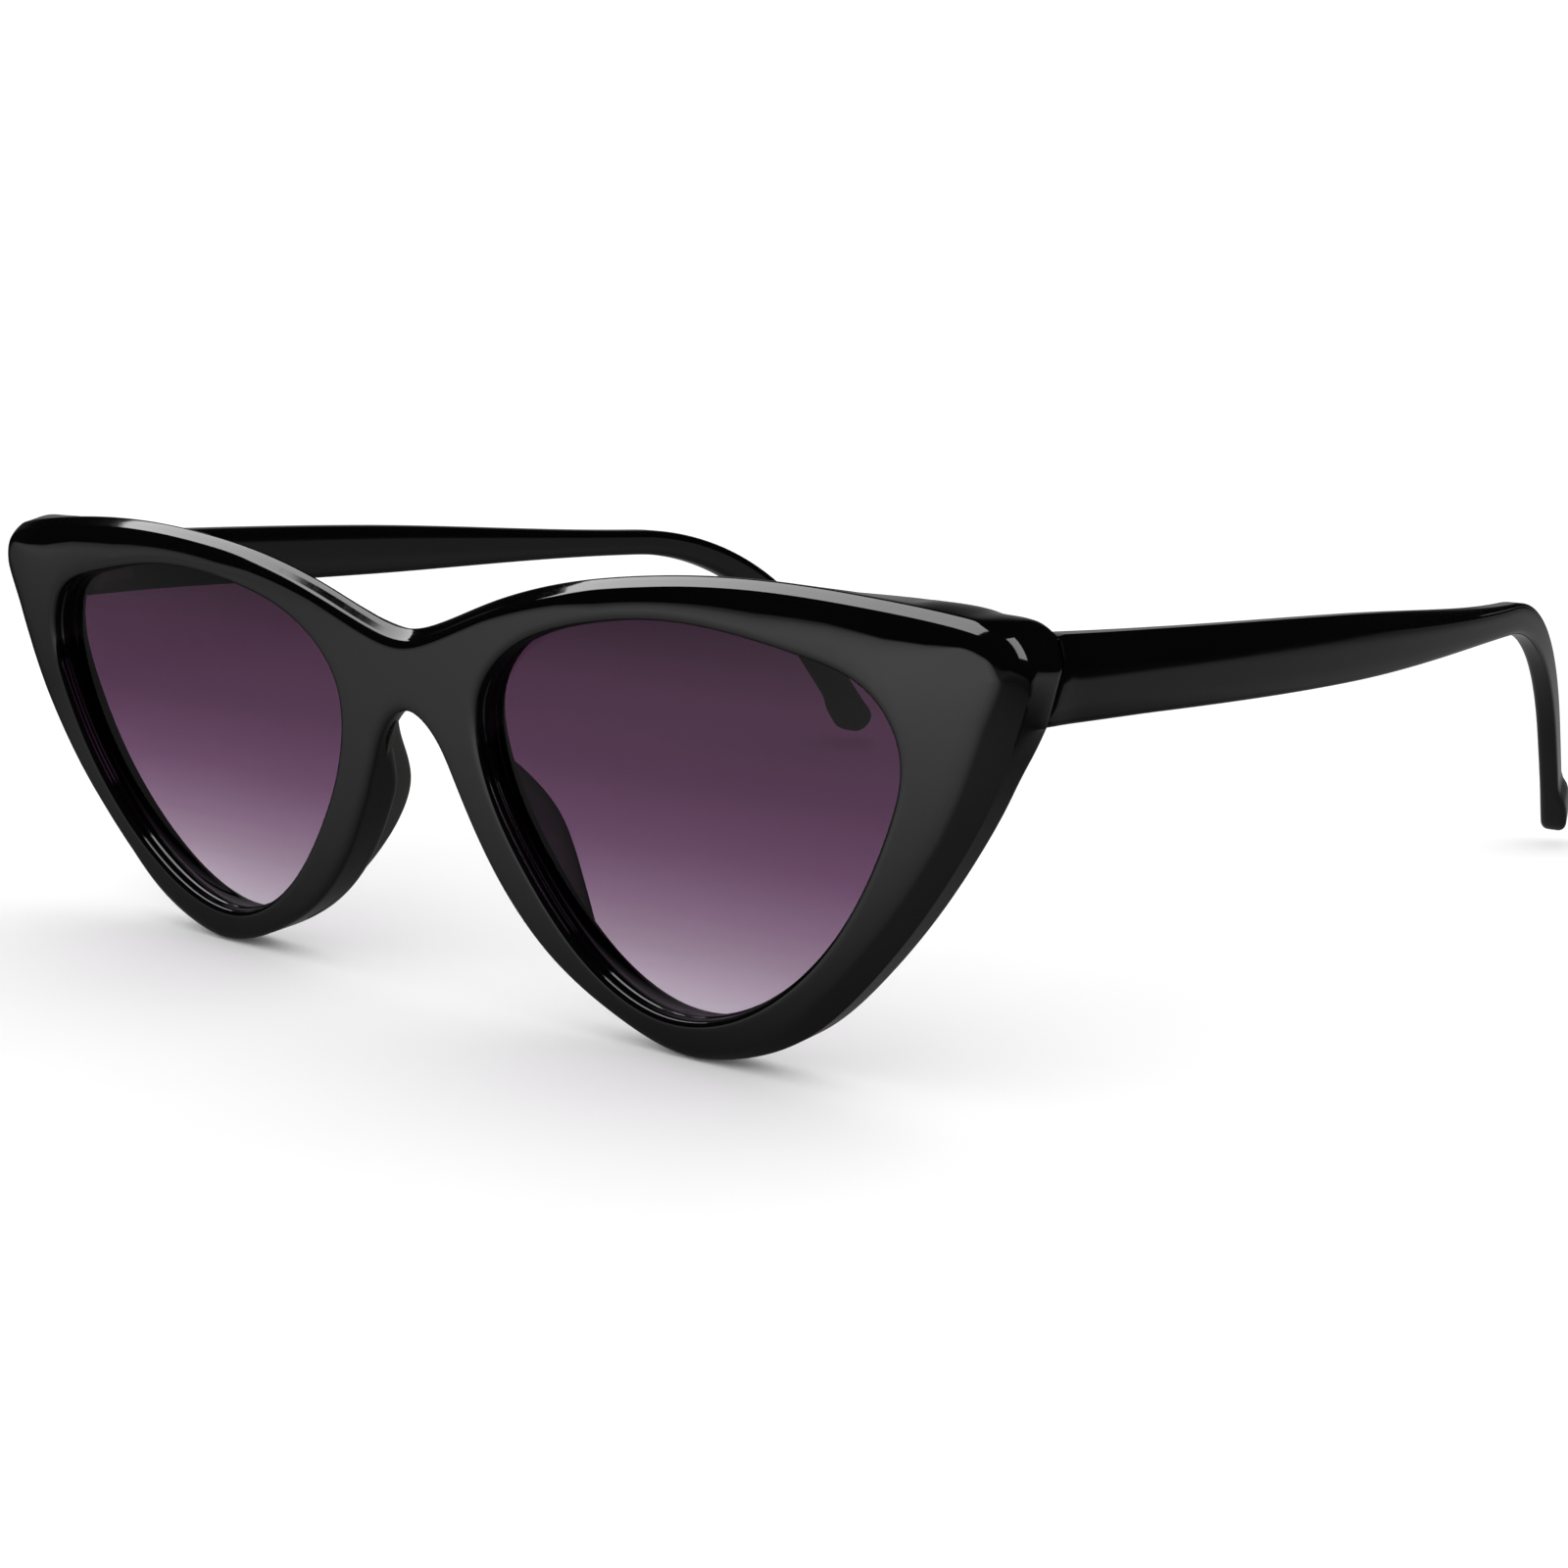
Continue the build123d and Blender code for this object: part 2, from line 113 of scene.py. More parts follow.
# Zones of the front: the distances from the middle and the heights over which each one fades in
ZONES = {
    "flare": ((60.0, 66.0), (25.0, 30.5)),    # the rim deepens towards the endpiece
    "seam": ((62.0, 67.5), (27.8, 31.2)),     # the back edge becomes the seam's edge
    "corner": ((36.0, 50.0), (24.0, 30.0)),   # the cheek's back edge is as sharp as the brow's
    "crown": ((60.5, 66.5), (36.5, 39.0)),    # the endpiece's top swells
    "tip": ((67.0, 69.5), (34.0, 36.5)),      # the face's edge is rounder
}
TOP_FACING = (0.30, 0.75)  # upward part of the outline's normal where the brow begins, and is in full
NOSE_REACH = 44.0        # the edge round the nose ends at this distance from the middle
NOSE_BLEND = 20          # and fades over this many points of the outline each way
ARCH_HEIGHTS = (15, 23)  # the arch over the nose begins, and is in full
STRIP = 0.80             # inset of the bevel's bright strip
EDGE_MARGIN = 1.2        # least distance from the bevel to the lens openings
BACK_MARGIN = 0.85       # and what the back edge keeps on top of that
WALL_ROWS = 10           # rows between the face's edge and the back edge
CROWN = 1.0              # how far the endpiece's top swells between the face and the seam
BACK_ROUND = 0.5         # radius of the back edge on the brow and at the corners
CHEEK_ROUND = 1.3        # on the cheek
ARCH_ROUND = 3.0         # and over the nose
ROUND_DEPTH = 0.6        # depth of that rounding, as a share of its radius
ARCH_ROUND_DEPTH = 0.9
ROUND_ANGLES = (30, 60, 90)
ARCH_CUT = 1.2           # the bridge is this much less deep than the rims
FRONT_CREASE = 40        # degrees; sharper edges than this stay sharp

# Where the endpiece's edge runs round the end of the temple
END_SIDE = (30.9, 35.5)  # heights along the temple's outer side
END_SLOPE = (35.5, 38.9)  # and along its sloping strip
END_TOP = (69.6, 66.8)   # distances from the middle across its top
BLOCK_SIDE = (66.9, 67.2)  # distances from the middle over which it steps out from the rim's back
BLOCK_FOOT = (30.2, 30.5)  # and heights

# (spacing, distance from the edges) of the points inside the flat stretches
FACE_FILL = (1.1, 0.5)
BACK_FILL = (1.2, 0.6)
LENS_FILL = (1.3, 0.6)
BLOCK_FILL = (0.3, 0.25)
# (distance from the middle, height) where the endpiece's close points begin and end
BLOCK_FILL_FROM = (66.0, 28.2)
BLOCK_FILL_TO = (73.0, 42.0)
BACK_FILL_UNTIL = (65.5, 28.0)  # and where the wider ones of the back stop

# ---- lenses ----
LENS_RECESS = 2.1        # face to lens, at the edge of the lens
LENS_THICKNESS = 1.76
LENS_BITE = 0.75         # how far the lens reaches into the groove
LENS_CROWN = 0.9         # how far the middle of a lens stands forward of its edge
LENS_CREASE = 40
# (share of the lens's height, colour that it lets through)
TINT = [(0.00, (0.78, 0.73, 0.79)), (0.07, (0.69, 0.62, 0.69)), (0.17, (0.555, 0.47, 0.55)),
        (0.27, (0.465, 0.365, 0.46)), (0.42, (0.355, 0.245, 0.345)), (0.61, (0.272, 0.176, 0.260)),
        (0.80, (0.236, 0.147, 0.219)), (1.00, (0.165, 0.108, 0.155))]

# ---- nose pads ----
# (height, depth behind the face) of the pad's free edge
PAD_SIDE = [(-0.6, 3.4), (1.0, 3.9), (3.0, 5.3), (8.0, 8.0), (14.0, 8.7), (18.0, 6.9), (21.5, 4.3),
            (24.6, 2.1)]
PAD_START = 3.6          # depth of the pad's root in the rim
PAD_BRIDGE_START = 1.6   # and at the bridge
PAD_BRIDGE = (14, 22)    # heights between which one becomes the other
PAD_LEAST = 0.3          # the root is at least this much less deep than the free edge
PAD_WIDEST = 28.0        # greatest distance from the middle
PAD_FLARE = math.radians(14)
PAD_BASE = 2.6           # thickness at the root
PAD_EDGE = 1.5           # and near the free edge
PAD_STEPS = 12           # rows from the root to the free edge
PAD_STEP = 0.5           # spacing of the points along the pad
PAD_SIDE_STEP = 0.3      # and of those that give its free edge's depth
PAD_CREASE = 50

# ---- temples ----
PIN_TO_SIDE = 1.35       # hinge pin to the temple's inner side, at the seam
ARM_THICK = 4.4          # the temple's thickness at the seam
SIDE_INNER = pin.x + PIN_TO_SIDE
SIDE_OUTER = SIDE_INNER + ARM_THICK
ARM_HALF = 3.65          # half the temple's height at the seam
ARM_MIDDLE_HALF = 3.2
ARM_BEND_HALF = 1.75
BEND_MIDDLE_HALF = 1.9
HOOK_HALF = 2.0
TIP_HALF = 2.2
SEAM_TOP = pin.z + ARM_HALF
SEAM_FADE = 12.0         # length over which the sections turn from the seam's slant to upright
ARM_LENGTH = 91.5        # seam to bend
ARM_DROP = math.radians(3.2)
ARM_FLARE = math.radians(6.5)  # how far outwards the temple starts, before it bows in
ARM_BOW_RADIUS = 294.0
ARM_INSET = 0.05         # the outer side lies this far inside the bow
BEND_RADIUS = 37.5
HOOK_ANGLE = math.radians(57.3)
HOOK_LENGTH = 14.3
BULB_LENGTH = 7.0        # the hook's end swells outwards
BULB_SWELL = 1.0
CHAMFER = 2.5            # height of the sloping strip along the top of the temple, at the seam
CHAMFER_INSET = 1.5      # and how far it leans in
CHAMFER_BULGE = 0.16     # and how far it bulges, as a share of that
CHAMFER_SHARES = (0.2, 0.4, 0.6, 0.8, 0.92)  # where across its width it has points
# (inset, height above the strip's lower edge) of the points that soften that edge
CHAMFER_FOOT = [(0.0, -0.15), (0.02, -0.05), (0.07, 0.06)]
LOW_ROUND = 0.55         # radius of the temple's lower outer edge
INNER_ROUND = 0.7        # and of its two inner edges
END_ROUND = 0.14         # rounding of the end at the seam
END_ROUND_LENGTH = 0.5
END_STATIONS = [0.0, 0.12, 0.3, 0.6]  # lengths along the temple of its first sections
FIRST_STATION = 1.5      # and of the evenly spaced ones after them
STATION_STEP = 1.0
SECTION_TURN = 18        # degrees between the points of a rounded edge
TIP_TURN = 9             # and between the sections of the rounded tip
ARM_CREASE = 30

# ---- floor, lights and camera, in metres ----
FLOOR_HALF = 12.0
FLOOR_DROP = 0.0002      # the floor lies this far below the glasses
GLOW_HALF = 1.0
GLOW_DROP = 0.0004
ROOM_LIGHT = 1.26        # white room all round, for everything except the gloss
GLOSS_DARK = 0.004       # what the gloss sees of that room
GLOSS_WALL = 0.30        # and of the pale wall behind, on the wearer's right
WALL_DIRECTION = (-0.60, 0.72, 0.34)
WALL_SPREAD = math.radians(38)
BROW_AT = Vector((0.045, -0.068, 0.042))
SOFTBOX_DISTANCE = 1.2   # from the near brow
# (direction from the near brow, direction of its long side, size, radiance)
SOFTBOXES = {
    "left_softbox": ((-0.43, -0.175, 0.89), (0.84, -0.29, 0.33), (1.54, 0.42), 5.2),
    "right_softbox": ((0.76, 0.12, 0.64), (0.59, -0.06, -0.81), (0.95, 0.5), 4.5),
}
CAMERA_AT = Vector((193.21, -238.30, 72.34)) * MM
CAMERA_AIM = Vector((52.51, -74.76, 29.21)) * MM
CAMERA_ROLL = math.radians(-0.39)
CAMERA_LENS = 60.21      # for a sensor 36 mm wide
CAMERA_SENSOR = 36.0
CAMERA_RANGE = (0.01, 20.0)


# ---- curves ----
def smoothstep(low, high, value):
    """0 at low, 1 at high, and a soft step between."""
    t = linear_step(low, high, value)
    return t * t * (3 - 2 * t)


def linear_step(low, high, value):
    """0 at low, 1 at high, and a straight line between. low may be the larger."""
    return np.clip((np.asarray(value, float) - low) / (high - low), 0, 1)


def mix(a, b, share):
    return a + (b - a) * share


def hermite(t, gap, start, end, start_slope, end_slope):
    """Cubic between two values with given slopes, at a share t of the gap between them."""
    return (
        (2 * t**3 - 3 * t**2 + 1) * start
        + (t**3 - 2 * t**2 + t) * gap * start_slope
        + (3 * t**2 - 2 * t**3) * end
        + (t**3 - t**2) * gap * end_slope
    )


def spline(points, spacing, closed=False):
    """Evenly spaced points along the smooth cubic curve that passes through the given points."""
    knots = np.array(list(points) + ([points[0]] if closed else []), float)
    gaps = np.linalg.norm(np.diff(knots, axis=0), axis=1)
    count = len(knots)
    system = np.zeros((count, count))
    target = np.zeros_like(knots)
    for i in range(1, count - 1):
        system[i, i - 1:i + 2] = (gaps[i], 2 * (gaps[i - 1] + gaps[i]), gaps[i - 1])
        target[i] = 3 * (
            gaps[i] / gaps[i - 1] * (knots[i] - knots[i - 1])
            + gaps[i - 1] / gaps[i] * (knots[i + 1] - knots[i])
        )
    if closed:
        # the curve leaves its first point with the slope and bend that it comes back with
        first = gaps[0]
        last = gaps[-1]
        system[0, [0, -1]] = (1, -1)
        system[-1, [0, 1, -2, -1]] = (last + first, last, first, last + first)
        target[-1] = 3 * (
            first / last * (knots[-1] - knots[-2]) + last / first * (knots[1] - knots[0])
        )
    else:
        for end, beside, gap in ((0, 1, gaps[0]), (-1, -2, gaps[-1])):
            system[end, [end, beside]] = (2, 1)
            target[end] = 3 * (knots[max(end, beside)] - knots[min(end, beside)]) / gap
    slopes = np.linalg.solve(system, target)
    share = np.linspace(0, 1, CURVE_SAMPLES, endpoint=False)[:, None]
    dense = [
        hermite(share, gap, knots[i], knots[i + 1], slopes[i], slopes[i + 1])
        for i, gap in enumerate(gaps)
    ]
    return even(np.vstack(dense + [knots[-1:]]), spacing, closed)


def even(points, spacing, closed=False):
    """The same polyline with its points spread evenly, about spacing apart."""
    along = np.r_[0, np.cumsum(np.linalg.norm(np.diff(points, axis=0), axis=1))]
    stations = np.linspace(0, along[-1], int(round(along[-1] / spacing)) + 1)
    spread = np.column_stack([np.interp(stations, along, column) for column in points.T])
    return spread[:-1] if closed else spread


def outward_normals(loop):
    """Unit normals of a closed clockwise loop, pointing away from its inside."""
    tangent = np.roll(loop, -1, axis=0) - np.roll(loop, 1, axis=0)
    tangent /= np.linalg.norm(tangent, axis=1)[:, None]
    return np.column_stack([-tangent[:, 1], tangent[:, 0]])


def distance_to(loop, points):
    """Distance from each point to the nearest point of a closed loop."""
    best = np.full(len(points), np.inf)
    at_a_time = 64
    for start in range(0, len(loop), at_a_time):
        gap = points[:, None, :] - loop[None, start:start + at_a_time, :]
        best = np.minimum(best, np.sqrt((gap**2).sum(2)).min(1))
    return best


def inside(loop, points):
    """True for each point inside a closed loop, by counting crossings."""
    found = np.zeros(len(points), bool)
    ends = np.roll(loop, -1, axis=0)
    for (x1, y1), (x2, y2) in zip(loop, ends):
        if y1 == y2:
            continue
        crosses = (y1 > points[:, 1]) != (y2 > points[:, 1])
        reach = x1 + (points[:, 1] - y1) * (x2 - x1) / (y2 - y1)
        found ^= crosses & (points[:, 0] < reach)
    return found


def grid(low, high, spacing):
    """Points on a square grid that covers a box."""
    xs = np.arange(math.floor(low[0] / spacing), high[0] / spacing + 1) * spacing
    ys = np.arange(math.floor(low[1] / spacing), high[1] / spacing + 1) * spacing
    across, up = np.meshgrid(xs, ys)
    return np.column_stack([across.ravel(), up.ravel()])


def stagger(points, spacing):
    """Shifts every other row of a grid by half a space, which makes even triangles."""
    row = np.round(points[:, 1] / spacing).astype(int) % 2
    moved = points.copy()
    moved[:, 0] += row * spacing / 2
    return moved


def between(outer, holes, fill):
    """Inner points for a flat stretch, kept a margin away from its edges."""
    spacing, margin = fill
    points = stagger(grid(outer.min(0), outer.max(0), spacing), spacing)
    keep = inside(outer, points)
    for hole in holes:
        keep &= ~inside(hole, points)
    points = points[keep]
    for loop in [outer] + holes:
        points = points[distance_to(loop, points) > margin]
    return points


# ---- the front's curved sheet ----
turn = WRAP_FROM / FACE_RADIUS
wrap_x = (FACE_RADIUS - WRAP_RADIUS) * math.sin(turn)
wrap_y = FACE_RADIUS - (FACE_RADIUS - WRAP_RADIUS) * math.cos(turn)


def sheet_depth(x, behind):
    """Distance behind the flat plane of the face, for a layer some way behind the curved face."""
    x = np.abs(x)
    near = FACE_RADIUS - np.sqrt((FACE_RADIUS - behind)**2 - x**2)
    far = wrap_y - np.sqrt(np.maximum((WRAP_RADIUS - behind)**2 - (x - wrap_x)**2, 1))
    return np.where(x < (FACE_RADIUS - behind) * math.sin(turn), near, far)


def place(flat, behind):
    """Points of the face's outline plane, at a depth behind the face, as points in space."""
    depth = sheet_depth(flat[:, 0], behind)
    return np.column_stack([
        flat[:, 0],
        FACE_Y - flat[:, 1] * math.sin(LEAN) + depth * math.cos(LEAN),
        FACE_Z + flat[:, 1] * math.cos(LEAN) + depth * math.sin(LEAN),
    ])


def flatten(points):
    """The outline plane's coordinates of points in space."""
    return np.column_stack([
        points[:, 0],
        (points[:, 2] - FACE_Z) * math.cos(LEAN) - (points[:, 1] - FACE_Y) * math.sin(LEAN),
    ])


def zone(name, flat):
    """How far points of the outline plane belong to a zone of the front, from 0 to 1."""
    across, up = ZONES[name]
    return smoothstep(*across, np.abs(flat[:, 0])) * smoothstep(*up, flat[:, 1])


def seam_y(z):
    """Y of the slanting seam between endpiece and temple, at a height above the table."""
    return pin.y + MITRE * (z - SEAM_TOP)


def seam_behind(flat):
    """How far behind the face the seam's plane lies, at points of the outline plane."""
    z = FACE_Z + flat[:, 1] * math.cos(LEAN) + SEAM_DEPTH * math.sin(LEAN)
    depth = (seam_y(z) - SEAM_GAP - FACE_Y + flat[:, 1] * math.sin(LEAN)) / math.cos(LEAN)
    return WRAP_RADIUS - np.hypot(wrap_y - depth, np.abs(flat[:, 0]) - wrap_x)


def rim_behind(flat):
    """Depth of the rim's back surface, which deepens towards the endpiece."""
    return RIM_DEPTH + FLARE_DEPTH * zone("flare", flat)


def back_behind(flat):
    """Depth of the front's back surface: the rim's, and the seam's on the endpiece."""
    rim = rim_behind(flat)
    block = linear_step(*BLOCK_SIDE, np.abs(flat[:, 0])) * linear_step(*BLOCK_FOOT, flat[:, 1])
    return mix(rim, np.maximum(seam_behind(flat), rim), block)


def endpiece_edge(flat):
    """Where each outline point ends on the seam: the temple's section, with its sloping strip."""
    up_side = linear_step(*END_SIDE, flat[:, 1])
    up_slope = linear_step(*END_SLOPE, flat[:, 1])
    inwards = linear_step(*END_TOP, np.abs(flat[:, 0]))
    top_width = SIDE_OUTER - CHAMFER_INSET - SIDE_INNER
    across = SIDE_OUTER - CHAMFER_INSET * up_slope - top_width * inwards
    z = mix(SEAM_TOP - 2 * ARM_HALF, SEAM_TOP - CHAMFER, up_side) + CHAMFER * up_slope
    return np.column_stack([across * np.sign(flat[:, 0]), seam_y(z) - SEAM_GAP, z])


# ---- meshes ----
class Shell:
    """Collects points and faces, in millimetres, and turns them into one smooth mesh object."""

    def __init__(self):
        self.points = []
        self.faces = []

    def add(self, points):
        start = len(self.points)
        self.points.extend(map(tuple, points))
        return list(range(start, start + len(points)))

    def strip(self, one, other, closed=True):
        """Quads between two rows of the same length."""
        count = len(one) if closed else len(one) - 1
        for i in range(count):
            after = (i + 1) % len(one)
            self.faces.append((one[i], one[after], other[after], other[i]))

    def fill(self, outer, holes, flat, extra, height):
        """Triangles between an outer row and hole rows, with extra inner points set by height."""
        rows = [outer] + holes
        indices = [i for row in rows for i in row]
        edges = []
        start = 0
        for row in rows:
            edges += [(start + i, start + (i + 1) % len(row)) for i in range(len(row))]
            start += len(row)
        indices += self.add(height(extra))
        seeds = [Vector(p) for p in np.vstack([flat, extra])]
        only_inside = 1
        tolerance = 1e-5
        spots, _, faces, origins, _, _ = delaunay_2d_cdt(seeds, edges, [], only_inside, tolerance)
        middles = np.array([sum((spots[i] for i in face), Vector((0, 0))) / len(face) for face in faces])
        keep = np.ones(len(faces), bool)
        start = len(outer)
        for hole in holes:
            keep &= ~inside(flat[start:start + len(hole)], middles)
            start += len(hole)
        for face, kept in zip(faces, keep):
            if kept:
                self.faces.append(tuple(indices[origins[i][0]] for i in face))

    def build(self, name, material, crease):
        """The mesh object, smooth except along edges that turn by more than crease degrees."""
        mesh = bpy.data.meshes.new(name)
        mesh.from_pydata([Vector(p) * MM for p in self.points], [], self.faces)
        mesh.validate()
        mesh.materials.append(material)
        piece = bpy.data.objects.new(name, mesh)
        bpy.context.scene.collection.objects.link(piece)
        bpy.context.view_layer.objects.active = piece
        piece.select_set(True)
        bpy.ops.object.mode_set(mode="EDIT")
        bpy.ops.mesh.select_all(action="SELECT")
        bpy.ops.mesh.normals_make_consistent(inside=False)
        bpy.ops.object.mode_set(mode="OBJECT")
        mesh.shade_smooth()
        bpy.ops.object.shade_smooth_by_angle(angle=math.radians(crease))
        piece.select_set(False)
        return piece


# ---- materials ----
class Nodes:
    """Short hand for building a material's node tree."""

    def __init__(self, name):
        self.material = bpy.data.materials.new(name)
        self.material.use_nodes = True
        self.tree = self.material.node_tree
        self.tree.nodes.clear()
        self.output = self.add("ShaderNodeOutputMaterial")

    def add(self, kind, settings=None, **inputs):
        """A new node. Settings are its own properties, inputs are values or sockets."""
        node = self.tree.nodes.new(kind)
        for key, value in (settings or {}).items():
            setattr(node, key, value)
        for key, value in inputs.items():
            self.set(node, key.replace("_", " "), value)
        return node

    def set(self, node, key, value):
        """Sets or links an input, by its name or as in0, in1 and so on."""
        by_number = key.startswith("in") and key[2:].isdigit()
        socket = node.inputs[int(key[2:]) if by_number else key]
        if isinstance(value, bpy.types.NodeSocket):
            self.tree.links.new(value, socket)
        else:
            socket.default_value = value

    def place(self):
        """The point's own place, in metres."""
        return self.add("ShaderNodeTexCoord").outputs["Object"]

    def noise(self, scale, detail, stretch=(1, 1, 1)):
        mapped = self.add("ShaderNodeMapping", Vector=self.place(), Scale=stretch).outputs[0]
        return self.add("ShaderNodeTexNoise", Vector=mapped, Scale=scale, Detail=detail).outputs[0]

    def range(self, value, low, high, start=0.0, end=1.0):
        """Maps a value that runs from start to end onto low to high."""
        ranged = self.add("ShaderNodeMapRange", Value=value)
        for key, number in zip(("From Min", "From Max", "To Min", "To Max"), (start, end, low, high)):
            ranged.inputs[key].default_value = number
        return ranged.outputs[0]

    def math(self, operation, one, other):
        return self.add("ShaderNodeMath", {"operation": operation}, in0=one, in1=other).outputs[0]

    def product(self, one, other):
        return self.math("MULTIPLY", one, other)

    def bump(self, height, strength, distance, under=None):
        node = self.add("ShaderNodeBump", Height=height, Strength=strength, Distance=distance)
        if under is not None:
            self.set(node, "Normal", under)
        return node.outputs[0]

    def colours(self, value, low, high):
        mixed = self.add("ShaderNodeMix", {"data_type": "RGBA"})
        self.set(mixed, "in0", value)
        self.set(mixed, "in6", (*low, 1))
        self.set(mixed, "in7", (*high, 1))
        return mixed.outputs[2]

    def done(self, shader):
        self.tree.links.new(shader.outputs[0], self.output.inputs["Surface"])
        return self.material


def polished_plastic():
    """Black moulded plastic: deep gloss, faint waviness from the mould, hairline polishing marks."""
    n = Nodes("polished_black_plastic")
    waves = n.noise(scale=60, detail=1.5)
    grain = n.noise(scale=1400, detail=2)
    scratches = n.noise(scale=900, detail=2, stretch=(1, 0.05, 0.3))
    colour = n.colours(waves, low=(0.0006, 0.0006, 0.0007), high=(0.0014, 0.0014, 0.0015))
    wavy = n.range(waves, low=0.05, high=0.08, start=0.3, end=0.7)
    scratched = n.range(scratches, low=0.0, high=0.04, start=0.55, end=0.8)
    rough = n.math("ADD", wavy, scratched)
    normal = n.bump(waves, strength=0.05, distance=0.0004)
    normal = n.bump(grain, strength=0.02, distance=0.00002, under=normal)
    return n.done(n.add("ShaderNodeBsdfPrincipled", Base_Color=colour, Roughness=rough, IOR=1.5,
                        Normal=normal))


def satin_plastic():
    """The nose pads' plastic, duller where skin rubs it."""
    n = Nodes("satin_black_plastic")
    patches = n.noise(scale=160, detail=3)
    grain = n.noise(scale=2200, detail=3)
    colour = n.colours(patches, low=(0.010, 0.0095, 0.0085), high=(0.017, 0.016, 0.0145))
    rough = n.range(patches, low=0.30, high=0.48, start=0.3, end=0.7)
    normal = n.bump(grain, strength=0.12, distance=0.00004)
    return n.done(n.add("ShaderNodeBsdfPrincipled", Base_Color=colour, Roughness=rough, IOR=1.5,
                        Normal=normal))


def tinted_lens(low, high):
    """Clear plastic with a plum tint that is dark at the brow and fades to pale at the bottom."""
    n = Nodes("plum_gradient_lens")
    up = n.add("ShaderNodeSeparateXYZ", Vector=n.place()).outputs[2]
    wobble = n.range(n.noise(scale=45, detail=2), low=-0.0004, high=0.0004)
    share = n.range(n.math("ADD", up, wobble), low=0, high=1, start=low * MM, end=high * MM)
    ramp = n.add("ShaderNodeValToRGB", Fac=share)
    elements = ramp.color_ramp.elements
    while len(elements) < len(TINT):
        elements.new(1.0)
    for element, (where, colour) in zip(elements, TINT):
        element.position = where
        element.color = (*colour, 1)
    smudges = n.range(n.noise(scale=120, detail=4), low=0.03, high=0.08, start=0.35, end=0.7)
    glass = n.add("ShaderNodeBsdfTransparent", Color=ramp.outputs[0])
    mirror = n.add("ShaderNodeBsdfGlossy", Color=(0.9, 0.9, 0.92, 1), Roughness=smudges)
    fresnel = n.add("ShaderNodeFresnel", IOR=1.25).outputs[0]
    outside = n.range(n.add("ShaderNodeNewGeometry").outputs["Backfacing"], low=1, high=0)
    shine = n.product(fresnel, outside)
    return n.done(n.add("ShaderNodeMixShader", in0=shine, in1=glass.outputs[0], in2=mirror.outputs[0]))


def nickel():
    """Satin nickel silver of the hinges, drawn along its length and a little tarnished."""
    n = Nodes("satin_nickel_silver")
    lines = n.noise(scale=2500, detail=2, stretch=(1, 0.06, 1))
    stains = n.noise(scale=500, detail=3)
    colour = n.colours(stains, low=(0.50, 0.47, 0.42), high=(0.66, 0.64, 0.60))
    rough = n.range(lines, low=0.24, high=0.42, start=0.3, end=0.7)
    normal = n.bump(lines, strength=0.15, distance=0.00002)
    return n.done(n.add("ShaderNodeBsdfPrincipled", Base_Color=colour, Metallic=1.0, Roughness=rough,
                        Normal=normal))


def turned_steel():
    """Stainless screw with the fine rings that a lathe leaves."""
    n = Nodes("turned_stainless_steel")
    rings = n.add("ShaderNodeTexWave", {"bands_direction": "Z"}, Vector=n.place(), Scale=2600.0,
                  Distortion=0.6).outputs[0]
    stains = n.noise(scale=700, detail=3)
    colour = n.colours(stains, low=(0.50, 0.50, 0.51), high=(0.64, 0.64, 0.65))
    rough = n.range(rings, low=0.18, high=0.34)
    normal = n.bump(rings, strength=0.2, distance=0.00002)
    return n.done(n.add("ShaderNodeBsdfPrincipled", Base_Color=colour, Metallic=1.0, Roughness=rough,
                        Normal=normal))


def table_top():
    """Pale matt board."""
    n = Nodes("pale_board")
    grain = n.noise(scale=30, detail=4)
    colour = n.colours(grain, low=(0.90, 0.90, 0.90), high=(0.93, 0.93, 0.93))
    normal = n.bump(grain, strength=0.02, distance=0.0005)
    return n.done(n.add("ShaderNodeBsdfPrincipled", Base_Color=colour, Roughness=0.9, IOR=1.3,
                        Normal=normal))


def table_glow():
    """What the gloss sees below the horizon: a lit table, dark near the glasses and to their right.

    Each range turns a place on the table, from start to end in metres, into a brightness.
    """
    n = Nodes("table_glow")
    place_at = n.place()
    split = n.add("ShaderNodeSeparateXYZ", Vector=place_at)
    across, along = split.outputs[0], split.outputs[1]
    # in front of the glasses
    forward = n.range(along, low=1.30, high=0.12, start=-0.187, end=-0.068)
    right = n.range(across, low=0.30, high=1.0, start=-0.170, end=0.0)
    left = n.range(across, low=1.0, high=0.15, start=0.06, end=0.14)
    before = n.product(n.product(forward, right), left)
    # behind them
    behind = n.product(n.range(along, low=0.0, high=0.28, start=-0.06, end=0.10),
                       n.range(along, low=1.0, high=0.4, start=0.11, end=0.39))
    behind = n.product(behind, n.range(across, low=1.0, high=0.0, start=0.26, end=0.33))
    # and darker far away on every side
    away = n.add("ShaderNodeVectorMath", {"operation": "LENGTH"}, in0=place_at).outputs["Value"]
    fade = n.range(away, low=1.0, high=0.0, start=0.35, end=0.95)
    level = n.product(n.math("MAXIMUM", before, behind), fade)
    return n.done(n.add("ShaderNodeEmission", Color=(1.0, 1.0, 1.0, 1), Strength=level))


